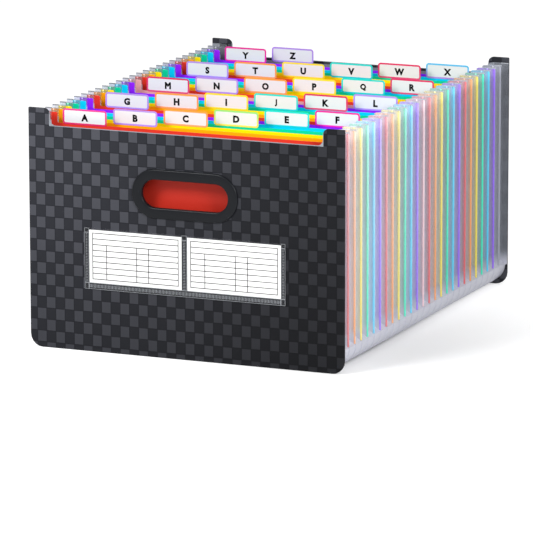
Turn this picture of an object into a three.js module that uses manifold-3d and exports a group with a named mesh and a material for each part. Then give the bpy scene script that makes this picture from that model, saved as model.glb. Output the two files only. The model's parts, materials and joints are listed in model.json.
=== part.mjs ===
// Expanding file folder with twenty-six lettered dividers, stood open on its lower edges.
// Lengths are in millimetres. X runs across the covers, Y from the front cover to the rear one, Z up.
// The origin is on the floor, under the middle of the folder.
import * as THREE from "three";
import { mergeVertices } from "three/addons/utils/BufferGeometryUtils.js";
import Module from "manifold-3d";

// Clearance between pieces that slide or lie loosely together
const clearance = 0.3;

// Covers: stiff ribbed plastic with an ear at each upper corner
const coverWidth = 330;
const coverHeight = 236.5;
const coverThickness = 1.2;
const coverCornerRadius = 13;
const earWidth = 22.5;
const earRise = 16.8;
const earRadius = 6;
const earOuterRadius = 1;

// Pockets: the spaces between the covers and the dividers
const dividerCount = 26;
const pocketPitch = 16.41;

// Gusset: one folded film, pleated round both sides and the base
const filmThickness = 0.4;
const gussetInset = 2;
const gussetLift = 2;
const gussetTopDrop = 5.5;
const gussetCornerRadius = 20;
const flangeWidth = 13.4;
const valleyDepth = 17.5;

// Towards its lower corners the gusset's pleats get shallower, from this height down
const pleatFadeZ = 44;
const basePleatShare = 0.35;

// The gusset's end flanges reach past the outer folds, and at the lower corners they stay inside them
const endFlangeLap = 1.7;
const cornerFlangeInset = 2;

// Dividers: thin coloured sheets, each with an ear at both sides and one tab
const dividerThickness = 0.5;
const dividerEarRise = 10.3;
const dividerCornerCut = 21;
const dividerCornerRadius = 1.3;

// Tabs and their printed labels, in repeating rows
const tabsPerRow = 6;
const tabRowShift = 1.9;
const labelWidth = 46;
const labelHeight = 15.4;
const labelThickness = 0.3;
const labelOverhang = 0.3;
const labelDrop = 0.7;
const labelRadius = 3;

// Handle: a moulded ring in the front cover, held by a ring behind it
const handleHoleWidth = 90;
const handleHoleHeight = 27.5;
const handleCentreZ = 161;
const handleRimWidth = 10.3;
const handleProud = 2;
const handleEdgeRadius = 1.2;
const collarWall = 1.7;
const backingThickness = 1.2;
const backingRimWidth = 8.5;

// Label strip: a clear film welded to the front cover round two open-topped cells
const stripWidth = 210.2;
const stripHeight = 60;
const stripBottomZ = 62.3;
const stripShift = 0.8;
const stripFilmThickness = 0.3;
const sideWeldWidth = 4.4;
const centreWeldWidth = 5.4;
const baseWeldHeight = 6.2;

// Cards: ruled cards that stand loosely in the two cells
const cardHeight = 52;
const cardThickness = 0.4;
const cardPlay = 0.25;

// Steps along the round stretches
const coverArcSteps = 5;
const sheetArcSteps = 2;
const gussetArcSteps = 4;
const handleArcSteps = 10;

// Places worked out from the sizes above
const depth = 2 * coverThickness + pocketPitch * (dividerCount + 1);
const frontY = -(depth - handleProud) / 2;
const rearY = frontY + depth;
const firstPocketY = frontY + coverThickness;
const lastPocketY = rearY - coverThickness;
const earInnerX = coverWidth / 2 - earWidth;
const recessZ = coverHeight - earRise;
const labelZ = recessZ - labelDrop;
const foldX = coverWidth / 2 - gussetInset;
const gussetTopZ = coverHeight - gussetTopDrop;
const filmReach = dividerThickness / 2 + clearance + filmThickness / 2;
const sheetInset = filmThickness + clearance;

// Materials
const plastic = (color, roughness) => new THREE.MeshStandardMaterial({ color, roughness, metalness: 0 });
const coverPlastic = plastic("#33353b", 0.45);
const handlePlastic = plastic("#2b2f3a", 0.35);
const gussetFilm = plastic("#c9cbd4", 0.5);
const clearFilm = plastic("#9ea3ad", 0.2);
const cardPaper = plastic("#f3f3f1", 0.85);

const dividerColours = ["#e8584a", "#f5a31a", "#ece01f", "#16c9a2", "#22b7ea", "#8b3fe0"].map((colour) =>
  plastic(colour, 0.4),
);
const paleDivider = plastic("#f0aca6", 0.4);
const greyDivider = plastic("#b9bcc4", 0.4);

const labelColours = {
  pink: plastic("#ee3f8c", 0.5),
  lavender: plastic("#a98fe0", 0.5),
  orange: plastic("#f59a2c", 0.5),
  yellow: plastic("#e6dc2a", 0.5),
  teal: plastic("#27b7a6", 0.5),
  crimson: plastic("#d8345f", 0.5),
  sky: plastic("#4fb2ea", 0.5),
};

// The label's border colour on each divider, in order from the front
const labelBorders = [
  ["pink", "lavender", "orange", "yellow", "teal", "pink"],
  ["lavender", "orange", "yellow", "teal", "crimson", "lavender"],
  ["crimson", "lavender", "orange", "yellow", "teal", "crimson"],
  ["lavender", "orange", "yellow", "teal", "crimson", "sky"],
  ["pink", "lavender"],
].flat();

// Dividers 13 and 26 break the run of six colours
function dividerMaterial(number) {
  if (number === 13) return paleDivider;
  if (number === 26) return greyDivider;
  const place = number < 13 ? number - 1 : number - 14;
  return dividerColours[place % dividerColours.length];
}

// Points round a closed outline, anticlockwise. A corner is [x, y, radius], and a radius of 0 stays sharp.
function outlinePoints(corners, steps) {
  const points = [];
  corners.forEach(([x, y, radius], i) => {
    const corner = new THREE.Vector2(x, y);
    if (radius === 0) {
      points.push(corner);
      return;
    }
    const before = corners[(i + corners.length - 1) % corners.length];
    const after = corners[(i + 1) % corners.length];
    const back = new THREE.Vector2(before[0], before[1]).sub(corner).normalize();
    const ahead = new THREE.Vector2(after[0], after[1]).sub(corner).normalize();
    const halfAngle = Math.acos(back.dot(ahead)) / 2;
    const inward = back.clone().add(ahead).normalize();
    const centre = corner.clone().addScaledVector(inward, radius / Math.sin(halfAngle));
    const start = corner.clone().addScaledVector(back, radius / Math.tan(halfAngle)).sub(centre).angle();
    const turn = (Math.PI - 2 * halfAngle) * Math.sign(ahead.cross(back));
    for (let step = 0; step <= steps; step++) {
      const angle = start + (turn * step) / steps;
      points.push(new THREE.Vector2(Math.cos(angle), Math.sin(angle)).multiplyScalar(radius).add(centre));
    }
  });
  return points;
}

// The outline of a ribbon of one thickness along a centre line
function ribbonOutline(centreLine, thickness) {
  const sideOf = (from, to) => new THREE.Vector2(to.y - from.y, from.x - to.x).normalize();
  const right = [];
  const left = [];
  centreLine.forEach((point, i) => {
    const before = centreLine[Math.max(i - 1, 0)];
    const after = centreLine[Math.min(i + 1, centreLine.length - 1)];
    const sideIn = i > 0 ? sideOf(before, point) : sideOf(point, after);
    const sideOut = after === point ? sideIn : sideOf(point, after);
    const mitre = sideIn.clone().add(sideOut).divideScalar(1 + sideIn.dot(sideOut));
    right.push(point.clone().addScaledVector(mitre, thickness / 2));
    left.push(point.clone().addScaledVector(mitre, -thickness / 2));
  });
  return [...right, ...left.reverse()];
}

// A flat sheet cut to an outline in X and Z, from its front face at y = 0 rearwards
function sheetGeometry(outline, thickness, hole) {
  const shape = new THREE.Shape(outline);
  if (hole) shape.holes.push(new THREE.Path(hole));
  const geometry = new THREE.ExtrudeGeometry(shape, { depth: thickness, bevelEnabled: false });
  return geometry.rotateX(Math.PI / 2).translate(0, thickness, 0);
}

// A station is a centre in X and Z and an angle: the path passes it at some distance in that direction.
function pointAt(station, distance, y) {
  const x = station.x + distance * Math.cos(station.angle);
  const z = station.z + distance * Math.sin(station.angle);
  return new THREE.Vector3(x, y, z);
}

// A solid skinned through rings of equally many points. Two ends close it, or it joins up without them.
function sweptGeometry(rings, endProfile) {
  const positions = rings.flatMap((ring) => ring.flatMap((point) => point.toArray()));
  const size = rings[0].length;
  const spans = endProfile ? rings.length - 1 : rings.length;
  const index = [];
  for (let span = 0; span < spans; span++) {
    const here = span * size;
    const next = ((span + 1) % rings.length) * size;
    for (let i = 0; i < size; i++) {
      const j = (i + 1) % size;
      index.push(here + i, here + j, next + j, here + i, next + j, next + i);
    }
  }
  if (endProfile) {
    const last = (rings.length - 1) * size;
    for (const [a, b, c] of THREE.ShapeUtils.triangulateShape(endProfile, [])) {
      index.push(c, b, a, last + a, last + b, last + c);
    }
  }
  const geometry = new THREE.BufferGeometry();
  geometry.setAttribute("position", new THREE.Float32BufferAttribute(positions, 3));
  geometry.setIndex(index);
  geometry.computeVertexNormals();
  return geometry;
}

// Stations round a stadium, anticlockwise as seen from the front
function stadiumStations(width, height, centreZ) {
  const stations = [];
  for (const side of [1, -1]) {
    for (let step = 0; step <= handleArcSteps; step++) {
      const x = (side * (width - height)) / 2;
      stations.push({ x, z: centreZ, angle: Math.PI * (step / handleArcSteps - side / 2) });
    }
  }
  return stations;
}

const handleStations = stadiumStations(handleHoleWidth, handleHoleHeight, handleCentreZ);

// The stadium that lies a given distance outside the hand hole
function handleOutline(offset) {
  return handleStations.map((station) => {
    const point = pointAt(station, handleHoleHeight / 2 + offset, 0);
    return new THREE.Vector2(point.x, point.z);
  });
}

// The left half of an outline mirrors the right half, so only the right half's corners are listed.
function mirrored(rightCorners) {
  const leftCorners = rightCorners.map(([x, z, radius]) => [-x, z, radius]).reverse();
  return [...rightCorners, ...leftCorners];
}

const coverOutline = outlinePoints(
  mirrored([
    [coverWidth / 2, 0, coverCornerRadius],
    [coverWidth / 2, coverHeight, earOuterRadius],
    [earInnerX, coverHeight, earRadius],
    [earInnerX, recessZ, earRadius],
  ]),
  coverArcSteps,
);

function coverGeometry(hasHandle) {
  const hole = hasHandle ? handleOutline(collarWall + clearance) : null;
  return sheetGeometry(coverOutline, coverThickness, hole);
}

// The ring's section, from the hand hole outwards: a rim in front of the cover and a collar through it
function handleGrommetGeometry() {
  const collarLength = coverThickness + backingThickness;
  const section = outlinePoints(
    [
      [0, -handleProud, handleEdgeRadius],
      [handleRimWidth, -handleProud, handleEdgeRadius],
      [handleRimWidth, 0, 0],
      [collarWall, 0, 0],
      [collarWall, collarLength, 0],
      [0, collarLength, 0],
    ],
    sheetArcSteps,
  );
  const place = (station, point) => pointAt(station, handleHoleHeight / 2 + point.x, point.y);
  return sweptGeometry(handleStations.map((station) => section.map((point) => place(station, point))));
}

function handleBackingGeometry() {
  return sheetGeometry(handleOutline(backingRimWidth), backingThickness, handleOutline(collarWall + clearance));
}

// The pleated film's line at one station, with x inwards from the outer folds and y rearwards
function gussetCentreLine({ pleatShare, lap }) {
  const line = [];
  const add = (inward, y) => line.push(new THREE.Vector2(inward, y));
  const outer = filmThickness / 2;
  const flange = flangeWidth * pleatShare;
  const valley = valleyDepth * pleatShare;
  add(-lap, firstPocketY + outer);
  add(flange, firstPocketY + outer);
  for (let number = 1; number <= dividerCount; number++) {
    const y = firstPocketY + pocketPitch * number;
    add(valley, y - pocketPitch / 2);
    add(flange, y - filmReach);
    add(outer, y - filmReach);
    add(outer, y + filmReach);
    add(flange, y + filmReach);
  }
  add(valley, lastPocketY - pocketPitch / 2);
  add(flange, lastPocketY - outer);
  add(-lap, lastPocketY - outer);
  return line;
}

// Down the right side, along the base and up the left side
function gussetStations() {
  const x = foldX - gussetCornerRadius;
  const cornerZ = gussetLift + gussetCornerRadius;
  const tall = { pleatShare: 1, lap: endFlangeLap };
  const low = { pleatShare: basePleatShare, lap: endFlangeLap };
  const round = { pleatShare: basePleatShare, lap: -cornerFlangeInset };
  const quarter = Math.PI / 2;
  const stations = [];
  stations.push({ x, z: gussetTopZ, angle: 0, ...tall }, { x, z: pleatFadeZ, angle: 0, ...tall });
  for (const side of [1, -1]) {
    for (let step = 0; step <= gussetArcSteps; step++) {
      const angle = -quarter * (step / gussetArcSteps + (side < 0 ? 1 : 0));
      const atEnd = step === 0 || step === gussetArcSteps;
      stations.push({ x: side * x, z: cornerZ, angle, ...(atEnd ? low : round) });
    }
  }
  stations.push({ x: -x, z: pleatFadeZ, angle: -Math.PI, ...tall });
  stations.push({ x: -x, z: gussetTopZ, angle: -Math.PI, ...tall });
  return stations;
}

function gussetGeometry() {
  const profileAt = (station) => ribbonOutline(gussetCentreLine(station), filmThickness);
  const place = (station, point) => pointAt(station, gussetCornerRadius - point.x, point.y);
  const stations = gussetStations();
  const rings = stations.map((station) => profileAt(station).map((point) => place(station, point)));
  return sweptGeometry(rings, profileAt(stations[0]));
}

// The middle of the tab on a divider, which steps along the row and starts again
function tabCentreX(number) {
  const place = (number - 1) % tabsPerRow;
  return tabRowShift + labelWidth * (place - (tabsPerRow - 1) / 2);
}

function dividerGeometry(number) {
  const edgeX = foldX - sheetInset;
  const baseZ = gussetLift + sheetInset;
  const cutX = foldX - dividerCornerCut;
  const cutZ = gussetLift + dividerCornerCut;
  const earZ = recessZ + dividerEarRise;
  const tabHalf = labelWidth / 2 - labelOverhang;
  const tabX = tabCentreX(number);
  const tabZ = labelZ + labelHeight - labelOverhang;
  const outline = outlinePoints(
    [
      [cutX, baseZ, 0],
      [edgeX, cutZ, 0],
      [edgeX, earZ, dividerCornerRadius],
      [earInnerX, earZ, dividerCornerRadius],
      [earInnerX, recessZ, dividerCornerRadius],
      [tabX + tabHalf, recessZ, 0],
      [tabX + tabHalf, tabZ, labelRadius],
      [tabX - tabHalf, tabZ, labelRadius],
      [tabX - tabHalf, recessZ, 0],
      [-earInnerX, recessZ, dividerCornerRadius],
      [-earInnerX, earZ, dividerCornerRadius],
      [-edgeX, earZ, dividerCornerRadius],
      [-edgeX, cutZ, 0],
      [-cutX, baseZ, 0],
    ],
    sheetArcSteps,
  );
  return sheetGeometry(outline, dividerThickness);
}

function labelGeometry() {
  const half = labelWidth / 2;
  const outline = outlinePoints(
    [
      [half, 0, labelRadius],
      [half, labelHeight, labelRadius],
      [-half, labelHeight, labelRadius],
      [-half, 0, labelRadius],
    ],
    sheetArcSteps,
  );
  return sheetGeometry(outline, labelThickness);
}

const cellWidth = (stripWidth - 2 * sideWeldWidth - centreWeldWidth) / 2;
const cellCentreX = (cellWidth + centreWeldWidth) / 2;
const cellDepth = cardThickness + clearance;

const wasm = await Module();
wasm.setup();

function solidFrom(geometry) {
  const bare = geometry.clone();
  bare.deleteAttribute("normal");
  bare.deleteAttribute("uv");
  const merged = mergeVertices(bare);
  const vertProperties = merged.attributes.position.array;
  const triVerts = new Uint32Array(merged.index.array);
  return new wasm.Manifold(new wasm.Mesh({ numProp: 3, vertProperties, triVerts }));
}

function geometryFrom(solid) {
  const { vertProperties, triVerts } = solid.getMesh();
  const geometry = new THREE.BufferGeometry();
  geometry.setAttribute("position", new THREE.BufferAttribute(vertProperties, 3));
  geometry.setIndex(new THREE.BufferAttribute(triVerts, 1));
  geometry.computeVertexNormals();
  return geometry;
}

// The strip is a plate with its front face at y = 0, and each cell is open to the cover and at the top.
function labelFilmGeometry() {
  const stripDepth = stripFilmThickness + cellDepth;
  const plate = new THREE.BoxGeometry(stripWidth, stripDepth, stripHeight);
  plate.translate(0, stripDepth / 2, stripHeight / 2);
  let film = solidFrom(plate);
  for (const side of [-1, 1]) {
    const cell = new THREE.BoxGeometry(cellWidth, 2 * cellDepth, stripHeight);
    cell.translate(side * cellCentreX, stripFilmThickness + cellDepth, baseWeldHeight + stripHeight / 2);
    film = film.subtract(solidFrom(cell));
  }
  return geometryFrom(film);
}

function cardGeometry() {
  const width = cellWidth - 2 * cardPlay;
  return new THREE.BoxGeometry(width, cardThickness, cardHeight).translate(0, cardThickness / 2, cardHeight / 2);
}

function named(name, geometry, material, x, y, z) {
  const mesh = new THREE.Mesh(geometry, material);
  mesh.name = name;
  mesh.position.set(x, y, z);
  return mesh;
}

function covers() {
  const group = new THREE.Group();
  group.add(
    named("front_cover", coverGeometry(true), coverPlastic, 0, frontY, 0),
    named("rear_cover", coverGeometry(false), coverPlastic, 0, lastPocketY, 0),
  );
  return group;
}

function handle() {
  const group = new THREE.Group();
  group.add(
    named("handle_grommet", handleGrommetGeometry(), handlePlastic, 0, frontY, 0),
    named("handle_backing_ring", handleBackingGeometry(), handlePlastic, 0, firstPocketY, 0),
  );
  return group;
}

function labelStrip() {
  const group = new THREE.Group();
  const filmY = frontY - cellDepth - stripFilmThickness;
  const cardY = frontY - cardThickness;
  const cardZ = stripBottomZ + baseWeldHeight;
  group.add(
    named("label_pocket_film", labelFilmGeometry(), clearFilm, 0, filmY, stripBottomZ),
    named("index_card_left", cardGeometry(), cardPaper, -cellCentreX, cardY, cardZ),
    named("index_card_right", cardGeometry(), cardPaper, cellCentreX, cardY, cardZ),
  );
  group.position.x = -stripShift;
  return group;
}

function dividers() {
  const group = new THREE.Group();
  for (let number = 1; number <= dividerCount; number++) {
    const letter = String.fromCharCode("a".charCodeAt(0) + number - 1);
    const faceY = firstPocketY + pocketPitch * number - dividerThickness / 2;
    const border = labelColours[labelBorders[(number - 1) % labelBorders.length]];
    const labelY = faceY - labelThickness;
    group.add(
      named(`divider_${letter}`, dividerGeometry(number), dividerMaterial(number), 0, faceY, 0),
      named(`tab_label_${letter}`, labelGeometry(), border, tabCentreX(number), labelY, labelZ),
    );
  }
  return group;
}

const folder = new THREE.Group();
folder.add(covers(), handle(), labelStrip(), dividers());
folder.add(named("accordion_gusset", gussetGeometry(), gussetFilm, 0, 0, 0));

export default folder;
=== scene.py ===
"""Expanding file folder: finishes and fine shapes around the folder's fixed frame."""

import json
import math

import bmesh
import bpy
from mathutils import Matrix, Vector


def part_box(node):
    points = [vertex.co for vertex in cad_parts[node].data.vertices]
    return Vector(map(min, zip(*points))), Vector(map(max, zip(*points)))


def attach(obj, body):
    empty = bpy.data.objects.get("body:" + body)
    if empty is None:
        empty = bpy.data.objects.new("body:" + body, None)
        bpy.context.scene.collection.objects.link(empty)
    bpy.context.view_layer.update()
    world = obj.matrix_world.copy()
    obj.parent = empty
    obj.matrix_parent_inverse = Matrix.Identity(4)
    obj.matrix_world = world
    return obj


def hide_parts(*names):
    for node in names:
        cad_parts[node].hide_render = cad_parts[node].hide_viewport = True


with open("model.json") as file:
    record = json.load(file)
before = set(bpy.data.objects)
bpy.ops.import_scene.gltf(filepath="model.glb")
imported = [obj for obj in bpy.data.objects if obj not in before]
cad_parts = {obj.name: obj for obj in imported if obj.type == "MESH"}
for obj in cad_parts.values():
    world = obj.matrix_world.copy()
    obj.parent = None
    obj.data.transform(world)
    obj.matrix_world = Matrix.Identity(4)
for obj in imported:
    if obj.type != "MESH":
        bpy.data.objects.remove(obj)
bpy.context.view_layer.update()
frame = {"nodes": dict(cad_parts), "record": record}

MM = 0.001

# Sizes of the folder, in metres
PITCH = 16.41 * MM
DIVIDERS = 26
FILM = 0.22 * MM
FOLD_X = 163.0 * MM
GUSSET_BASE = 2.0 * MM
GUSSET_TOP = 231.0 * MM
GUSSET_RADIUS = 20.0 * MM
FLANGE = 13.4 * MM
VALLEY = 17.5 * MM
VALLEY_STEPS = (-0.5, -0.16, 0.0, 0.16, 0.5)
VALLEY_ROUNDING = 1.2
PLEAT_EDGE = 0.1 * MM
PLEAT_SHOULDER = 0.45 * MM
PLEAT_FADE_Z = 31.0 * MM
BASE_PLEAT_SHARE = 0.03
END_FLANGE_LAP = 1.7 * MM
CORNER_FLANGE_INSET = 2.0 * MM
CORNER_STEP_Z = 18.7 * MM
EDGE_LINE_X = 160.8 * MM
FILM_REACH = 0.75 * MM
FLAG_WIDTH = 6.6 * MM
EAR_WELD_HEIGHT = 8.0 * MM
LABEL_WIDTH = 46.6 * MM
LABEL_HEIGHT = 15.4 * MM
LABEL_THICKNESS = 0.3 * MM
LABEL_RADIUS = 3.0 * MM
LABEL_BORDER = 1.6 * MM
LABEL_FIELD_EDGE = 0.1 * MM
LABEL_FIELD_SINK = 0.08 * MM
LETTER_HEIGHT = 7.1 * MM
LETTER_DROP = 0.5 * MM
LETTER_BOLDNESS = 0.06
LETTER_RELIEF = 0.15
LETTER_SINK = 0.07 * MM
CHECK_WIDTH = 9.82 * MM
CHECK_HEIGHT = 11.3 * MM
CHECK_X = -147.72 * MM
CHECK_Z = 5.32 * MM
CHECK_SEAM = 0.465
RIB_PITCH = 1.1 * MM
RIB_SHARE = 0.25

FRONT_LOW, FRONT_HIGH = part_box("front_cover")
FIRST_POCKET_Y = FRONT_HIGH.y
LAST_POCKET_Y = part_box("rear_cover")[0].y
LABEL_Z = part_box("tab_label_a")[0].z
RECESS_Z = 219.7 * MM
EAR_INNER_X = 142.5 * MM
WELD_DOT_X = 153.9 * MM
WELD_DOT_Z = (226.9 * MM, 229.3 * MM)
WELD_DOT_RADIUS = 0.9 * MM
WELD_DOT_FLATNESS = 0.2

# Sizes of the label strip and of the tables printed on its cards
STRIP_FILM = 0.25 * MM
SIDE_WELD = 4.4 * MM
CENTRE_WELD = 5.4 * MM
BASE_WELD = 6.2 * MM
WELD_LINE = 0.3 * MM
WELD_RIB = 0.4 * MM
WELD_RIB_PITCH = 1.5 * MM
WELD_RIB_INSET = 1.4 * MM
WELD_RISE = 0.12 * MM
RULE = 0.75 * MM
RULE_RISE = 0.03 * MM
TABLE_SIDE = 3.6 * MM
TABLE_TOP = 3.1 * MM
TABLE_ROW = 5.65 * MM
TABLE_ROWS = 8
TABLE_HEAD_ROWS = 2
TABLE_COLUMNS = (14.8 * MM, 46.6 * MM, 59.2 * MM)

# Sizes of the hand hole's ring
HOLE_WIDTH = 90.0 * MM
HOLE_HEIGHT = 27.5 * MM
RIM_WIDTH = 10.3 * MM
RIM_PROUD = 2.0 * MM
COLLAR = 1.7 * MM

# Colours as seen on a screen, 0 to 255 for each channel
WHITE = (255, 255, 255)
CHECK_DARK = (38, 39, 44)
CHECK_LIGHT = (64, 65, 71)
CHECK_SEAM_COLOUR = (31, 32, 37)
# Painted highlight along the cover's top edge at the recess
RECESS_EDGE_HIGHLIGHT = (170, 178, 186)
MOULDED_COLOUR = (17, 19, 23)
CARD_WHITE = (246, 246, 244)
LABEL_WHITE = (228, 229, 232)
FILM_COLOUR = (232, 238, 252)
# Painted shade for the pressed film on the left ears
SHADED_PRESSED_FILM = (140, 144, 150)
RIGHT_RIM = (186, 190, 198)
LEFT_RIM = (140, 144, 152)
BASE_FILM = (193, 194, 206)
CLEAR_FILM = (170, 173, 180)
WELD_COLOUR = (190, 194, 200)
WELD_BED_COLOUR = (20, 21, 24)
INK_COLOUR = (14, 14, 16)

# The studio's light
AMBIENT = 0.62
FLOOR_GREY = 0.8
FLOOR_REACH = 6.0
FLOOR_GLOW = 0.5
SHADOW_GLOW = 0.08
SHADOW_PLACE = (0.17, -0.13, 0)
SHADOW_REACH = 0.34

# The photograph's camera: angles in degrees, lengths in metres, focal length in pixels
IMAGE_SIDE = 533
CAMERA_AZIMUTH = 22.998
CAMERA_ELEVATION = 11.900
CAMERA_ROLL = -0.100
CAMERA_FOCAL = 5076.2
CAMERA_DISTANCE = 4.8872
CAMERA_RIGHT = 0.07765
CAMERA_UP = 0.09017
SENSOR = 36.0

scene = bpy.context.scene
frame_slots = {part["node"]: part["material_slot"] for part in frame["record"]["subparts"]}


def camera():
    azimuth = math.radians(CAMERA_AZIMUTH)
    elevation = math.radians(CAMERA_ELEVATION)
    back = Vector(
        (
            math.sin(azimuth) * math.cos(elevation),
            -math.cos(azimuth) * math.cos(elevation),
            math.sin(elevation),
        )
    )
    level = Vector((0, 0, 1)).cross(back).normalized()
    rise = back.cross(level)
    roll = math.radians(CAMERA_ROLL)
    right = level * math.cos(roll) + rise * math.sin(roll)
    up = rise * math.cos(roll) - level * math.sin(roll)
    place = right * CAMERA_RIGHT + up * CAMERA_UP + back * CAMERA_DISTANCE
    place.y += FRONT_LOW.y
    data = bpy.data.cameras.new("camera")
    data.sensor_width = SENSOR
    data.lens = CAMERA_FOCAL * SENSOR / IMAGE_SIDE
    data.clip_end = 50
    obj = bpy.data.objects.new("camera", data)
    turn = Matrix((right, up, back)).transposed().to_4x4()
    obj.matrix_world = Matrix.Translation(place) @ turn
    scene.collection.objects.link(obj)
    scene.camera = obj


# Material helpers


def linear(colour):
    """A colour as seen on a screen, 0 to 255 for each channel, as the shader's linear value."""
    values = [c / 255 for c in colour]
    return [v / 12.92 if v <= 0.04045 else ((v + 0.055) / 1.055) ** 2.4 for v in values] + [1.0]


class Nodes:
    """Adds nodes to a tree, and links or sets what each input is given."""

    def __init__(self, tree):
        self.tree = tree

    def add(self, kind, settings=None, **inputs):
        node = self.tree.nodes.new(kind)
        for name, value in (settings or {}).items():
            setattr(node, name, value)
        for name, value in inputs.items():
            self.set(node, name.replace("_", " "), value)
        return node

    def set(self, node, key, value):
        socket = node.inputs[key]
        if isinstance(value, bpy.types.NodeSocket):
            self.tree.links.new(value, socket)
        else:
            socket.default_value = value

    def math(self, operation, a, b=0.0):
        node = self.add("ShaderNodeMath", {"operation": operation})
        self.set(node, 0, a)
        self.set(node, 1, b)
        return node.outputs[0]

    def multiply(self, a, b):
        return self.math("MULTIPLY", a, b)

    def mix(self, factor, a, b):
        node = self.add("ShaderNodeMix", {"data_type": "RGBA"})
        for index, value in ((0, factor), (6, a), (7, b)):
            self.set(node, index, value)
        return node.outputs[2]

    def ramp(self, value, low, high, out_low=0.0, out_high=1.0):
        """value carried from low..high to out_low..out_high, smoothly and clamped."""
        node = self.add("ShaderNodeMapRange", {"interpolation_type": "SMOOTHSTEP"})
        for index, item in enumerate((value, low, high, out_low, out_high)):
            self.set(node, index, item)
        return node.outputs[0]


def new_group(name, inputs, outputs):
    """An empty shader node group with named float or vector sockets."""
    tree = bpy.data.node_groups.new(name, "ShaderNodeTree")
    kinds = {"float": "NodeSocketFloat", "vector": "NodeSocketVector"}
    for label, kind in inputs:
        tree.interface.new_socket(name=label, in_out="INPUT", socket_type=kinds[kind])
    for label, kind in outputs:
        tree.interface.new_socket(name=label, in_out="OUTPUT", socket_type=kinds[kind])
    source = tree.nodes.new("NodeGroupInput")
    sink = tree.nodes.new("NodeGroupOutput")
    return Nodes(tree), source.outputs, sink.inputs


def sheet_grain_group():
    """Faint clouding and fine grain of pressed plastic sheet."""
    nodes, given, out = new_group(
        "sheet_grain",
        [("Place", "vector"), ("Cloud", "float"), ("Grain", "float")],
        [("Tone", "float"), ("Height", "float")],
    )
    cloud = nodes.add("ShaderNodeTexNoise", Vector=given["Place"], Scale=22.0, Detail=2.0)
    grain = nodes.add("ShaderNodeTexNoise", Vector=given["Place"], Scale=1900.0, Detail=1.0)
    spread = nodes.multiply(nodes.math("SUBTRACT", cloud.outputs[0], 0.5), given["Cloud"])
    nodes.tree.links.new(nodes.math("ADD", spread, 1.0), out["Tone"])
    nodes.tree.links.new(nodes.multiply(grain.outputs[0], given["Grain"]), out["Height"])
    return nodes.tree


def ribbed_check_group():
    """Checks of two depths: upright ribs in the raised ones and level ribs in the sunk ones."""
    nodes, given, out = new_group(
        "ribbed_check",
        [("Place", "vector"), ("Rib Pitch", "float")],
        [("Raised", "float"), ("Height", "float"), ("Seam", "float")],
    )
    axes = nodes.add("ShaderNodeSeparateXYZ", Vector=given["Place"])
    x, z = axes.outputs["X"], axes.outputs["Z"]
    across = nodes.math("DIVIDE", nodes.math("SUBTRACT", x, CHECK_X), CHECK_WIDTH)
    up = nodes.math("DIVIDE", nodes.math("SUBTRACT", z, CHECK_Z), CHECK_HEIGHT)
    cell = nodes.math("ADD", nodes.math("FLOOR", across), nodes.math("FLOOR", up))
    raised = nodes.math("FLOORED_MODULO", cell, 2.0)
    turns = nodes.math("DIVIDE", 2 * math.pi, given["Rib Pitch"])
    upright = nodes.math("SINE", nodes.multiply(x, turns))
    level = nodes.math("SINE", nodes.multiply(z, turns))
    sunk = nodes.math("SUBTRACT", 1.0, raised)
    ribs = nodes.math("ADD", nodes.multiply(upright, raised), nodes.multiply(level, sunk))
    height = nodes.math("ADD", nodes.multiply(ribs, RIB_SHARE), raised)
    edge_x = nodes.math("ABSOLUTE", nodes.math("SUBTRACT", nodes.math("FRACT", across), 0.5))
    edge_z = nodes.math("ABSOLUTE", nodes.math("SUBTRACT", nodes.math("FRACT", up), 0.5))
    seam = nodes.math("GREATER_THAN", nodes.math("MAXIMUM", edge_x, edge_z), CHECK_SEAM)
    nodes.tree.links.new(raised, out["Raised"])
    nodes.tree.links.new(height, out["Height"])
    nodes.tree.links.new(seam, out["Seam"])
    return nodes.tree


SHEET_GRAIN = sheet_grain_group()
RIBBED_CHECK = ribbed_check_group()


def new_material(name, roughness=0.5, specular=0.5):
    """A material with a Principled shader, its node helper and the piece's own coordinates."""
    item = bpy.data.materials.new(name)
    item.use_nodes = True
    nodes = Nodes(item.node_tree)
    shader = item.node_tree.nodes["Principled BSDF"]
    shader.inputs["Roughness"].default_value = roughness
    shader.inputs["Specular IOR Level"].default_value = specular
    place = nodes.add("ShaderNodeTexCoord").outputs["Object"]
    return item, nodes, shader, place


def add_grain(nodes, place, cloud, grain=1.0):
    """The clouded tone and the grain's height for one material."""
    settings = {"node_tree": SHEET_GRAIN}
    group = nodes.add("ShaderNodeGroup", settings, Place=place, Cloud=cloud, Grain=grain)
    return group.outputs["Tone"], group.outputs["Height"]


def tone(nodes, colour, amount):
    """The colour made lighter or darker by a value about 1."""
    node = nodes.add("ShaderNodeVectorMath", {"operation": "SCALE"})
    if isinstance(colour, bpy.types.NodeSocket):
        nodes.tree.links.new(colour, node.inputs[0])
    else:
        node.inputs[0].default_value = colour[:3]
    nodes.set(node, "Scale", amount)
    return node.outputs[0]


def bump(nodes, shader, height, distance, strength):
    node = nodes.add("ShaderNodeBump", Height=height, Distance=distance, Strength=strength)
    nodes.set(shader, "Normal", node.outputs["Normal"])


def background_rays(nodes):
    """1 for the rays that show the background: the camera's, and those through gloss and glass."""
    rays = nodes.add("ShaderNodeLightPath").outputs
    sent_on = nodes.math("MAXIMUM", rays["Is Glossy Ray"], rays["Is Transmission Ray"])
    return nodes.math("MAXIMUM", rays["Is Camera Ray"], sent_on)


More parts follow.
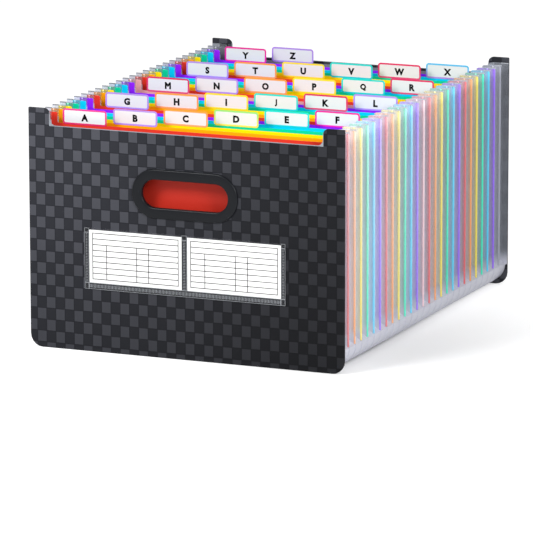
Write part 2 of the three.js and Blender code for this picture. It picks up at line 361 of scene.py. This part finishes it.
def cover_material():
    """Charcoal sheet with checks, and a painted highlight along its top edge at the recess between
    the ears.
    """
    item, nodes, shader, place = new_material("ribbed_charcoal_sheet", roughness=0.42, specular=0.08)
    settings = {"node_tree": RIBBED_CHECK}
    check = nodes.add("ShaderNodeGroup", settings, Place=place, Rib_Pitch=RIB_PITCH)
    shade, grain = add_grain(nodes, place, 0.16, 0.12)
    pattern = nodes.mix(check.outputs["Raised"], linear(CHECK_DARK), linear(CHECK_LIGHT))
    pattern = nodes.mix(check.outputs["Seam"], pattern, linear(CHECK_SEAM_COLOUR))
    axes = nodes.add("ShaderNodeSeparateXYZ", Vector=place)
    # Painted light and shade: the front cover's colour gets lighter towards its upper left corner,
    # the rear cover's is even
    painted_light_fall = nodes.multiply(
        nodes.ramp(axes.outputs["X"], -0.17, 0.17, 1.1, 0.37),
        nodes.ramp(axes.outputs["Z"], 0.0, 0.24, 0.72, 1.25),
    )
    rear = nodes.math("GREATER_THAN", axes.outputs["Y"], 0.0)
    pattern = tone(nodes, pattern, nodes.multiply(shade, nodes.math("MAXIMUM", painted_light_fall, rear)))
    # Painted highlight: a paler line along the cover's top edge at the recess between the ears
    over = nodes.math("GREATER_THAN", axes.outputs["Z"], RECESS_Z - 0.5 * MM)
    side = nodes.math("ABSOLUTE", axes.outputs["X"])
    middle = nodes.math("LESS_THAN", side, EAR_INNER_X + 0.5 * MM)
    top_edge = nodes.multiply(nodes.multiply(over, middle), 0.6)
    nodes.set(shader, "Base Color", nodes.mix(top_edge, pattern, linear(RECESS_EDGE_HIGHLIGHT)))
    bump(nodes, shader, nodes.math("ADD", check.outputs["Height"], grain), 0.12 * MM, 0.8)
    return item


def plain_material(name, colour, roughness, specular, cloud=0.1, relief=0.01 * MM, strength=0.3):
    """One colour, given as its linear value, with faint clouding and fine grain."""
    item, nodes, shader, place = new_material(name, roughness, specular)
    shade, grain = add_grain(nodes, place, cloud)
    nodes.set(shader, "Base Color", tone(nodes, colour, shade))
    bump(nodes, shader, grain, relief, strength)
    return item


def film_finish(name, colour, roughness, specular, alpha):
    """A plain finish that lets what lies behind it show through."""
    item = plain_material(name, linear(colour), roughness, specular)
    item.node_tree.nodes["Principled BSDF"].inputs["Alpha"].default_value = alpha
    return item


def paper_finish(name, colour):
    return plain_material(
        name, linear(colour), roughness=0.8, specular=0.25, cloud=0.03, relief=0.02 * MM
    )


def weld_dot_finish(name, line):
    """A pressed dot that shows the sheet under it, paler."""
    paler = Vector(linear(line)).lerp(Vector(linear(WHITE)), 0.35)
    return plain_material(name, tuple(paler), roughness=0.25, specular=0.4)


def divider_material(name, colour, line):
    """A coloured sheet whose welded side edge shows a brighter line of its own colour."""
    item, nodes, shader, place = new_material(name, roughness=0.4, specular=0.15)
    axes = nodes.add("ShaderNodeSeparateXYZ", Vector=place)
    shade, grain = add_grain(nodes, place, 0.08)
    side = nodes.math("ABSOLUTE", axes.outputs["X"])
    edge = nodes.ramp(side, EDGE_LINE_X - 0.2 * MM, EDGE_LINE_X + 0.2 * MM)
    # Painted shade: down in the pocket, where less light falls, the sheet is a little darker
    painted_pocket_shade = nodes.ramp(axes.outputs["Z"], 0.195, 0.215, 0.68, 1.0)
    body = tone(nodes, linear(colour), nodes.multiply(shade, painted_pocket_shade))
    # The welded line gets paler towards the front and the top
    front = nodes.ramp(axes.outputs["Y"], FIRST_POCKET_Y, LAST_POCKET_Y, 0.4, 0.03)
    paleness = nodes.multiply(front, nodes.ramp(axes.outputs["Z"], 0.02, 0.24, 0.4, 1.3))
    weld = nodes.mix(paleness, linear(line), linear(WHITE))
    nodes.set(shader, "Base Color", nodes.mix(edge, body, weld))
    bump(nodes, shader, grain, 0.01 * MM, 0.3)
    return item


def film_material():
    """Frosted film: clear over the dividers' edges, milkier in the valleys and at the base."""
    item, nodes, shader, place = new_material("frosted_film", roughness=0.38, specular=0.5)
    axes = nodes.add("ShaderNodeSeparateXYZ", Vector=place)
    shade, grain = add_grain(nodes, place, 0.12)
    inward = nodes.add("ShaderNodeAttribute", {"attribute_name": "inward"}).outputs["Fac"]
    height = axes.outputs["Z"]
    # Clear over the dividers' bright edges, but not over the rear cover
    back = nodes.math("GREATER_THAN", axes.outputs["Y"], LAST_POCKET_Y - 1.0 * MM)
    beside = nodes.math("MAXIMUM", nodes.ramp(inward, 2.1 * MM, 2.4 * MM), back)
    milk = nodes.ramp(inward, 2.4 * MM, 7.0 * MM, 0.27, 0.45)
    clear = 0.03
    alpha = nodes.multiply(beside, nodes.math("SUBTRACT", milk, clear))
    alpha = nodes.math("ADD", alpha, clear)
    # At the ears the left outer strip is milky, and the rest is pressed thin onto the divider
    outer = nodes.math("LESS_THAN", inward, FLAG_WIDTH)
    ear = nodes.math("GREATER_THAN", height, GUSSET_TOP - EAR_WELD_HEIGHT)
    left = nodes.math("LESS_THAN", axes.outputs["X"], 0.0)
    flag = nodes.multiply(nodes.multiply(left, ear), outer)
    alpha = nodes.math("MAXIMUM", alpha, nodes.multiply(flag, 0.6))
    pressed = nodes.multiply(ear, nodes.math("SUBTRACT", 1.0, outer))
    thinner = nodes.multiply(pressed, nodes.ramp(left, 0.0, 1.0, 0.1, 0.26))
    alpha = nodes.math("SUBTRACT", alpha, thinner)
    # The base is milkier, though the bright lines keep clear down to their ends
    under = nodes.math("LESS_THAN", height, 23.2 * MM)
    fade = nodes.multiply(nodes.ramp(height, 24.0 * MM, 38.0 * MM, 1.0, 0.0), beside)
    base = nodes.math("MAXIMUM", under, fade)
    denser = nodes.multiply(base, nodes.math("SUBTRACT", 0.94, alpha))
    alpha = nodes.math("ADD", alpha, denser)
    # The cut edge along the top of the outer strip is greyer and denser
    top_edge = nodes.math("GREATER_THAN", height, GUSSET_TOP - 0.9 * MM)
    rim = nodes.multiply(top_edge, outer)
    nodes.set(shader, "Alpha", nodes.math("MAXIMUM", alpha, nodes.multiply(rim, 0.75)))
    # Painted shade: its colour is darker towards the rear, towards the top and over the rear cover
    painted_film_shade = nodes.ramp(axes.outputs["Y"], FIRST_POCKET_Y, LAST_POCKET_Y, 1.04, 0.7)
    painted_film_shade = nodes.multiply(painted_film_shade, nodes.ramp(height, 0.06, 0.2, 1.0, 0.9))
    painted_film_shade = nodes.multiply(painted_film_shade, nodes.math("SUBTRACT", 1.0, nodes.multiply(back, 0.35)))
    milky = tone(nodes, linear(FILM_COLOUR), painted_film_shade)
    # Painted shade: on the left ears the pressed film is given a dark grey
    milky = nodes.mix(nodes.multiply(pressed, left), milky, linear(SHADED_PRESSED_FILM))
    rim_colour = nodes.mix(left, linear(RIGHT_RIM), linear(LEFT_RIM))
    milky = nodes.mix(rim, milky, rim_colour)
    milky = nodes.mix(base, milky, linear(BASE_FILM))
    nodes.set(shader, "Base Color", tone(nodes, milky, shade))
    bump(nodes, shader, grain, 0.02 * MM, 0.4)
    return item


def label_material(name, upper, lower):
    """A printed border that runs from one colour at its top to another at its foot."""
    item, nodes, shader, place = new_material(name, roughness=0.4, specular=0.4)
    axes = nodes.add("ShaderNodeSeparateXYZ", Vector=place)
    shade, grain = add_grain(nodes, place, 0.06)
    rise = nodes.ramp(axes.outputs["Z"], LABEL_Z + 1.0 * MM, LABEL_Z + LABEL_HEIGHT - 2.0 * MM)
    border = nodes.mix(rise, linear(lower), linear(upper))
    nodes.set(shader, "Base Color", tone(nodes, border, shade))
    bump(nodes, shader, grain, 0.01 * MM, 0.3)
    return item


COVER = cover_material()
MOULDED = plain_material(
    "moulded_blue_grey",
    linear(MOULDED_COLOUR),
    roughness=0.28,
    specular=0.14,
    relief=0.02 * MM,
    strength=0.4,
)
CARD = paper_finish("card_paper", CARD_WHITE)
LABEL_PAPER = paper_finish("label_paper", LABEL_WHITE)
FROSTED = film_material()
CLEAR = film_finish("clear_film", CLEAR_FILM, roughness=0.12, specular=0.5, alpha=0.03)
WELD = film_finish("ribbed_weld", WELD_COLOUR, roughness=0.35, specular=0.5, alpha=0.48)
# Where the strip is pressed onto the cover, it looks as dark as the cover's sunk checks
WELD_BED = film_finish(
    "pressed_film_bed", WELD_BED_COLOUR, roughness=0.3, specular=0.15, alpha=0.95
)
INK = plain_material("black_ink", linear(INK_COLOUR), roughness=0.7, specular=0.05)

# Sheet colour, and the brighter line that it shows along its welded edge
DIVIDER_COLOURS = {
    "red": ((232, 58, 42), (240, 104, 108)),
    "orange": ((255, 172, 4), (255, 170, 96)),
    "yellow": ((246, 228, 0), (255, 236, 84)),
    "teal": ((0, 208, 162), (30, 246, 204)),
    "cyan": ((0, 208, 255), (84, 220, 255)),
    "purple": ((152, 34, 248), (160, 112, 255)),
    "pale_pink": ((232, 168, 166), (250, 214, 220)),
    "grey": ((122, 124, 132), (176, 178, 190)),
}
DIVIDER_MATERIALS = {
    name: divider_material(f"{name}_sheet", *colours) for name, colours in DIVIDER_COLOURS.items()
}
WELD_DOTS = [
    weld_dot_finish(f"{name}_weld", line) for name, (_, line) in DIVIDER_COLOURS.items()
]

# Border colours of the labels: at the top, and at the foot
LABEL_COLOURS = {
    "pink": ((236, 55, 145), (226, 45, 105)),
    "lavender": ((180, 145, 228), (176, 145, 240)),
    "orange": ((252, 160, 60), (252, 165, 105)),
    "lime": ((150, 226, 120), (250, 226, 90)),
    "yellow": ((252, 230, 50), (250, 222, 40)),
    "aqua": ((20, 220, 210), (0, 205, 220)),
    "magenta": ((236, 40, 150), (240, 20, 185)),
    "crimson": ((222, 45, 100), (228, 75, 125)),
    "sky": ((90, 190, 236), (185, 140, 226)),
}
LABEL_MATERIALS = {
    name: label_material(f"{name}_border", *colours) for name, colours in LABEL_COLOURS.items()
}
# The border of each label, from A to Z
LABEL_BORDERS = (
    "pink lavender orange lime aqua magenta "
    "lavender orange yellow aqua crimson lavender "
    "crimson lavender orange yellow aqua crimson "
    "lavender orange yellow aqua crimson sky "
    "magenta lavender"
).split()


# Mesh helpers


def piece(name, mesh, materials, slot, *replaced):
    """A finished mesh as a piece of the folder."""
    data = bpy.data.meshes.new(name)
    mesh.to_mesh(data)
    mesh.free()
    obj = bpy.data.objects.new(name, data)
    scene.collection.objects.link(obj)
    for item in materials:
        data.materials.append(item)
    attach(obj, "root")
    if replaced:
        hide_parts(*replaced)
    return obj


def letter_of(number):
    """The letter of a divider, counted from the front."""
    return chr(ord("a") + number - 1)


def divider_colour(number):
    """The colour name of a divider, as the record gives it for its node."""
    return frame_slots[f"divider_{letter_of(number)}"].removeprefix("divider_")


def dress(node, item):
    """Gives a CAD node its finish."""
    data = frame["nodes"][node].data
    data.materials.clear()
    data.materials.append(item)


def smooth(obj, angle=30):
    for face in obj.data.polygons:
        face.use_smooth = True
    modifier = obj.modifiers.new("sharp_edges", "EDGE_SPLIT")
    modifier.split_angle = math.radians(angle)
    return obj


def paint(verts, material_index):
    """Gives the faces round some vertices one of their piece's materials."""
    for face in {face for vert in verts for face in vert.link_faces}:
        face.material_index = material_index


def stand_up(mesh):
    """Turns a mesh that lies in X and Y up into X and Z."""
    quarter = Matrix.Rotation(math.pi / 2, 3, "X")
    bmesh.ops.rotate(mesh, cent=(0, 0, 0), matrix=quarter, verts=mesh.verts)


def new_items(made, kind):
    """The vertices or edges among what an operator made."""
    return [item for item in made if isinstance(item, kind)]


def draw_edges(mesh, edges, offset):
    """Draws edges along an offset, and gives the edges at its end."""
    made = bmesh.ops.extrude_edge_only(mesh, edges=edges)["geom"]
    bmesh.ops.translate(mesh, verts=new_items(made, bmesh.types.BMVert), vec=offset)
    return new_items(made, bmesh.types.BMEdge)


def spin_edges(mesh, edges, centre, angle, steps):
    """Turns edges about a line along Y, and gives the edges at the end of the turn."""
    made = bmesh.ops.spin(
        mesh,
        geom=edges,
        cent=centre,
        axis=(0, 1, 0),
        angle=angle,
        steps=steps,
        use_merge=False,
    )
    return new_items(made["geom_last"], bmesh.types.BMEdge)


def rounded_plate(width, height, radius, steps):
    """A flat plate in X and Z, centred, with rounded corners and its front towards -Y."""
    mesh = bmesh.new()
    bmesh.ops.create_grid(mesh, x_segments=1, y_segments=1, size=0.5)
    bmesh.ops.scale(mesh, vec=(width, height, 1), verts=mesh.verts)
    stand_up(mesh)
    bmesh.ops.bevel(
        mesh,
        geom=mesh.verts[:],
        offset=radius,
        segments=steps,
        profile=0.5,
        affect="VERTICES",
        material=-1,
    )
    return mesh


# Pieces


def pleat_line():
    """The film's top edge from the front cover to the rear one: each point's depth and its Y."""
    half = FILM / 2
    valley_run = PITCH / 2 - FILM_REACH
    line = [(-END_FLANGE_LAP, FIRST_POCKET_Y + half), (FLANGE, FIRST_POCKET_Y + half)]
    for number in range(1, DIVIDERS + 2):
        y = FIRST_POCKET_Y + PITCH * number
        for step in VALLEY_STEPS:
            rounding = (VALLEY - FLANGE) * step * step * VALLEY_ROUNDING
            line.append((VALLEY - rounding, y - PITCH / 2 + valley_run * step))
        if number > DIVIDERS:
            break
        line += [
            (FLANGE, y - FILM_REACH),
            (PLEAT_SHOULDER, y - FILM_REACH),
            (PLEAT_EDGE, y - FILM_REACH * 0.6),
            (PLEAT_EDGE, y + FILM_REACH * 0.6),
            (PLEAT_SHOULDER, y + FILM_REACH),
            (FLANGE, y + FILM_REACH),
        ]
    return line + [(FLANGE, LAST_POCKET_Y - half), (-END_FLANGE_LAP, LAST_POCKET_Y - half)]


def gusset():
    """One pleated film, drawn along its top edge on the right and swept down, across and up."""
    mesh = bmesh.new()
    inward = mesh.verts.layers.float.new("inward")
    line = []
    for depth, y in pleat_line():
        line.append(mesh.verts.new((FOLD_X - depth, y, GUSSET_TOP)))
        line[-1][inward] = depth
    edges = [mesh.edges.new(pair) for pair in zip(line, line[1:])]
    centre_x = FOLD_X - GUSSET_RADIUS
    centre_z = GUSSET_BASE + GUSSET_RADIUS

    def extend(edges, offset, steps):
        for _ in range(steps):
            edges = draw_edges(mesh, edges, Vector(offset) / steps)
        return edges

    def turn(edges, x):
        return spin_edges(mesh, edges, (x, 0, centre_z), math.pi / 2, 10)

    edges = extend(edges, (0, 0, PLEAT_FADE_Z - GUSSET_TOP), 5)
    edges = extend(edges, (0, 0, centre_z - PLEAT_FADE_Z), 6)
    edges = turn(edges, centre_x)
    edges = extend(edges, (-2 * centre_x, 0, 0), 6)
    edges = turn(edges, -centre_x)
    edges = extend(edges, (0, 0, PLEAT_FADE_Z - centre_z), 6)
    extend(edges, (0, 0, GUSSET_TOP - PLEAT_FADE_Z), 5)

    # Towards the lower corners the pleats get shallower, and the end flanges step in
    near = 0.01 * MM
    for vert in mesh.verts:
        depth = vert[inward]
        side = math.copysign(1.0, vert.co.x)
        rise = (vert.co.z - centre_z) / (PLEAT_FADE_Z - centre_z)
        share = BASE_PLEAT_SHARE + (1 - BASE_PLEAT_SHARE) * min(max(rise, 0.0), 1.0)
        depth = depth * share if depth > 0 else depth
        out = GUSSET_RADIUS - depth
        vert[inward] = depth
        if vert.co.z > centre_z - near:
            vert.co.x = side * (centre_x + out)
            continue
        if abs(vert.co.x) < centre_x + near:
            vert.co.z = centre_z - out
            continue
        arm = Vector((vert.co.x - side * centre_x, 0, vert.co.z - centre_z)).normalized()
        if depth < 0 and centre_z + arm.z * out < CORNER_STEP_Z:
            out = GUSSET_RADIUS - CORNER_FLANGE_INSET
        vert.co.x = side * centre_x + arm.x * out
        vert.co.z = centre_z + arm.z * out
    bmesh.ops.recalc_face_normals(mesh, faces=mesh.faces)
    obj = piece("pleated_gusset", mesh, [FROSTED], "gusset_film", "accordion_gusset")
    solid = obj.modifiers.new("film_thickness", "SOLIDIFY")
    solid.thickness = FILM
    solid.offset = 0
    return smooth(obj, 35)


def weld_dots():
    """Two small round welds on each ear, where the film is fixed to the divider."""
    mesh = bmesh.new()
    for number in range(1, DIVIDERS + 1):
        y = FIRST_POCKET_Y + PITCH * number - FILM_REACH - FILM / 2
        colour = list(DIVIDER_COLOURS).index(divider_colour(number))
        for side in (-1, 1):
            for z in WELD_DOT_Z:
                made = bmesh.ops.create_icosphere(mesh, subdivisions=2, radius=WELD_DOT_RADIUS)
                dot = made["verts"]
                bmesh.ops.scale(mesh, vec=(1, WELD_DOT_FLATNESS, 1), verts=dot)
                bmesh.ops.translate(mesh, verts=dot, vec=(side * WELD_DOT_X, y, z))
                paint(dot, colour)
    return smooth(piece("ear_welds", mesh, WELD_DOTS, "gusset_film"), 60)


def tab_label(number, letter):
    """A label with a printed border round a white field that lies a little lower."""
    low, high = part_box(f"tab_label_{letter}")
    mesh = rounded_plate(LABEL_WIDTH, LABEL_HEIGHT, LABEL_RADIUS, 6)
    place = ((low.x + high.x) / 2, low.y, (low.z + high.z) / 2)
    bmesh.ops.translate(mesh, verts=mesh.verts, vec=place)
    made = bmesh.ops.extrude_face_region(mesh, geom=mesh.faces[:])["geom"]
    back = new_items(made, bmesh.types.BMVert)
    bmesh.ops.translate(mesh, verts=back, vec=(0, LABEL_THICKNESS, 0))
    bmesh.ops.recalc_face_normals(mesh, faces=mesh.faces)
    mesh.faces.ensure_lookup_table()
    face = min(mesh.faces, key=lambda item: item.calc_center_median().y)
    for thickness, depth in ((LABEL_BORDER, 0.0), (LABEL_FIELD_EDGE, -LABEL_FIELD_SINK)):
        bmesh.ops.inset_region(
            mesh, faces=[face], thickness=thickness, depth=depth, use_even_offset=True
        )
    face.material_index = 1
    node = f"tab_label_{letter}"
    materials = [LABEL_MATERIALS[LABEL_BORDERS[number - 1]], LABEL_PAPER]
    return piece(f"label_{letter}", mesh, materials, frame_slots[node], node)


def letters():
    """The index letters, raised a hair above the labels' white fields."""
    joined = bmesh.new()
    for number in range(1, DIVIDERS + 1):
        letter = letter_of(number)
        low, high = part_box(f"tab_label_{letter}")
        curve = bpy.data.curves.new("letter", "FONT")
        curve.body = letter.upper()
        curve.align_x = "CENTER"
        curve.size = 1.0
        curve.bevel_depth = LETTER_BOLDNESS
        curve.bevel_resolution = 1
        curve.resolution_u = 3
        text = bpy.data.objects.new("letter", curve)
        data = bpy.data.meshes.new_from_object(text)
        mesh = bmesh.new()
        mesh.from_mesh(data)
        lowest = min(vert.co.y for vert in mesh.verts)
        highest = max(vert.co.y for vert in mesh.verts)
        size = LETTER_HEIGHT / (highest - lowest)
        left = min(vert.co.x for vert in mesh.verts)
        right = max(vert.co.x for vert in mesh.verts)
        centre = (-(left + right) / 2, -(lowest + highest) / 2, 0)
        bmesh.ops.translate(mesh, verts=mesh.verts, vec=centre)
        bmesh.ops.scale(mesh, vec=(size, size, size * LETTER_RELIEF), verts=mesh.verts)
        stand_up(mesh)
        place = ((low.x + high.x) / 2, low.y + LETTER_SINK, (low.z + high.z) / 2 - LETTER_DROP)
        bmesh.ops.translate(mesh, verts=mesh.verts, vec=place)
        mesh.to_mesh(data)
        mesh.free()
        joined.from_mesh(data)
        bpy.data.meshes.remove(data)
        bpy.data.objects.remove(text)
        bpy.data.curves.remove(curve)
    return piece("index_letters", joined, [INK], "card_paper")


def strip(mesh, low, high, material_index=0):
    """A box between two corners, added to a mesh."""
    made = bmesh.ops.create_cube(mesh, size=1.0)["verts"]
    low, high = Vector(low), Vector(high)
    bmesh.ops.scale(mesh, vec=high - low, verts=made)
    bmesh.ops.translate(mesh, verts=made, vec=(low + high) / 2)
    paint(made, material_index)


def card_rules(side):
    """The ruled table that is printed on a card."""
    low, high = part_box(f"index_card_{side}")
    mesh = bmesh.new()
    left = low.x + TABLE_SIDE
    right = high.x - TABLE_SIDE
    top = high.z - TABLE_TOP
    foot = top - TABLE_ROWS * TABLE_ROW

    def line(x0, z0, x1, z1):
        half = RULE / 2
        strip(mesh, (x0 - half, low.y - RULE_RISE, z0 - half), (x1 + half, low.y, z1 + half))

    for row in range(TABLE_ROWS + 1):
        line(left, top - row * TABLE_ROW, right, top - row * TABLE_ROW)
    for x in (left, right):
        line(x, foot, x, top)
    for column in TABLE_COLUMNS:
        line(left + column, foot, left + column, top - TABLE_HEAD_ROWS * TABLE_ROW)
    return piece(f"card_rules_{side}", mesh, [INK], "card_paper")


def label_film():
    """The clear strip and the ribbed welds round its two cells, with a square where welds end."""
    low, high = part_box("label_pocket_film")
    middle = (low.x + high.x) / 2
    mesh = bmesh.new()
    behind = low.y + STRIP_FILM
    strip(mesh, (low.x, low.y, low.z), (high.x, behind, high.z))

    def raised(left, foot, right, top):
        strip(mesh, (left, low.y - WELD_RISE, foot), (right, low.y, top), 1)

    def outline(left, foot, right, top):
        raised(left, foot, left + WELD_LINE, top)
        raised(right - WELD_LINE, foot, right, top)
        raised(left + WELD_LINE, foot, right - WELD_LINE, foot + WELD_LINE)
        raised(left + WELD_LINE, top - WELD_LINE, right - WELD_LINE, top)

    def ribs(start, end, draw):
        count = int((end - start) / WELD_RIB_PITCH)
        first = (start + end - (count - 1) * WELD_RIB_PITCH) / 2
        for rib in range(count):
            centre = first + rib * WELD_RIB_PITCH
            draw(centre - WELD_RIB / 2, centre + WELD_RIB / 2)

    foot = low.z + BASE_WELD
    square = high.z - SIDE_WELD
    uprights = [
        (low.x, low.x + SIDE_WELD),
        (middle - CENTRE_WELD / 2, middle + CENTRE_WELD / 2),
        (high.x - SIDE_WELD, high.x),
    ]
    for left, right in uprights:
        strip(mesh, (left, behind, foot), (right, high.y, high.z), 2)
        outline(left, foot, right, square)
        outline(left, square, right, high.z)
        inner = (left + WELD_RIB_INSET, right - WELD_RIB_INSET)
        ribs(foot, square, lambda a, b: raised(inner[0], a, inner[1], b))
    strip(mesh, (low.x, behind, low.z), (high.x, high.y, foot), 2)
    for left, right in ((low.x, low.x + SIDE_WELD), (high.x - SIDE_WELD, high.x)):
        outline(left, low.z, right, foot)
    left, right = low.x + SIDE_WELD, high.x - SIDE_WELD
    outline(left, low.z, right, foot)
    inner = (low.z + WELD_RIB_INSET, foot - WELD_RIB_INSET)
    ribs(left, right, lambda a, b: raised(a, inner[0], b, inner[1]))
    materials = [CLEAR, WELD, WELD_BED]
    return piece("label_strip", mesh, materials, "clear_film", "label_pocket_film")


def grommet():
    """The handle's ring: its section spun round each end of the hand hole and drawn between."""
    low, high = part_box("handle_grommet")
    centre_z = (low.z + high.z) / 2
    mesh = bmesh.new()
    radius = HOLE_HEIGHT / 2
    reach = HOLE_WIDTH / 2 - radius
    front = low.y
    face = front + RIM_PROUD
    section = [
        (0.0, high.y),
        (0.0, front + 1.3 * MM),
        (0.15 * MM, front + 0.75 * MM),
        (0.6 * MM, front + 0.3 * MM),
        (1.3 * MM, front + 0.1 * MM),
        (2.6 * MM, front),
        (RIM_WIDTH - 2.4 * MM, front),
        (RIM_WIDTH - 1.1 * MM, front + 0.15 * MM),
        (RIM_WIDTH - 0.4 * MM, front + 0.5 * MM),
        (RIM_WIDTH - 0.05 * MM, front + 1.1 * MM),
        (RIM_WIDTH, face),
        (COLLAR, face),
        (COLLAR, high.y),
    ]
    verts = [mesh.verts.new((reach, y, centre_z - radius - out)) for out, y in section]
    edges = [mesh.edges.new(pair) for pair in zip(verts, verts[1:] + verts[:1])]

    for end in (reach, -reach):
        edges = spin_edges(mesh, edges, (end, 0, centre_z), -math.pi, 24)
        edges = draw_edges(mesh, edges, (-2 * end, 0, 0))
    bmesh.ops.remove_doubles(mesh, verts=mesh.verts, dist=0.001 * MM)
    bmesh.ops.recalc_face_normals(mesh, faces=mesh.faces)
    return smooth(piece("handle_ring", mesh, [MOULDED], "handle_plastic", "handle_grommet"), 40)


def pale_floor():
    """A plain pale floor, which glows less beside the pleats so that their shadow shows."""
    mesh = bmesh.new()
    bmesh.ops.create_grid(mesh, x_segments=1, y_segments=1, size=FLOOR_REACH)
    data = bpy.data.meshes.new("floor")
    mesh.to_mesh(data)
    mesh.free()
    floor = bpy.data.objects.new("floor", data)
    scene.collection.objects.link(floor)
    item, nodes, shader, place = new_material("pale_floor", roughness=0.9, specular=0.1)
    shader.inputs["Base Color"].default_value = (FLOOR_GREY, FLOOR_GREY, FLOOR_GREY, 1)
    shader.inputs["Emission Color"].default_value = (1, 1, 1, 1)
    away = nodes.add("ShaderNodeVectorMath", {"operation": "DISTANCE"})
    nodes.set(away, 0, place)
    nodes.set(away, 1, SHADOW_PLACE)
    glow = nodes.ramp(away.outputs["Value"], 0.0, SHADOW_REACH, SHADOW_GLOW, FLOOR_GLOW)
    nodes.set(shader, "Emission Strength", nodes.multiply(background_rays(nodes), glow))
    data.materials.append(item)


def soft_lamp(name, place, target, size, power):
    """A round area lamp at a place, aimed at a target."""
    lamp = bpy.data.lights.new(name, "AREA")
    lamp.shape = "DISK"
    lamp.size = size
    lamp.energy = power
    obj = bpy.data.objects.new(name, lamp)
    obj.location = place
    aim = Vector(place) - Vector(target)
    obj.rotation_euler = aim.to_track_quat("Z", "Y").to_euler()
    scene.collection.objects.link(obj)


def studio_light():
    """A white surround, dimmer as a light than as it is seen, a key lamp and a fill lamp."""
    world = bpy.data.worlds.new("studio")
    scene.world = world
    world.use_nodes = True
    nodes = Nodes(world.node_tree)
    background = world.node_tree.nodes["Background"]
    nodes.set(background, "Color", (1, 1, 1, 1))
    seen = nodes.multiply(background_rays(nodes), 1.0 - AMBIENT)
    nodes.set(background, "Strength", nodes.math("ADD", seen, AMBIENT))
    soft_lamp("key", (-0.52, -1.34, 1.05), (0, 0, 0.1), size=0.55, power=13.5)
    soft_lamp("fill", (0.85, -0.75, 0.6), (0.12, -0.1, 0.1), size=0.4, power=8)


camera()
pale_floor()
studio_light()
dress("front_cover", COVER)
dress("rear_cover", COVER)
dress("handle_backing_ring", MOULDED)
dress("index_card_left", CARD)
dress("index_card_right", CARD)
grommet()
label_film()
for card_side in ("left", "right"):
    card_rules(card_side)
gusset()
weld_dots()
for number in range(1, DIVIDERS + 1):
    letter = letter_of(number)
    dress(f"divider_{letter}", DIVIDER_MATERIALS[divider_colour(number)])
    tab_label(number, letter)
letters()

scene.view_settings.view_transform = "Standard"
scene.cycles.transparent_max_bounces = 24
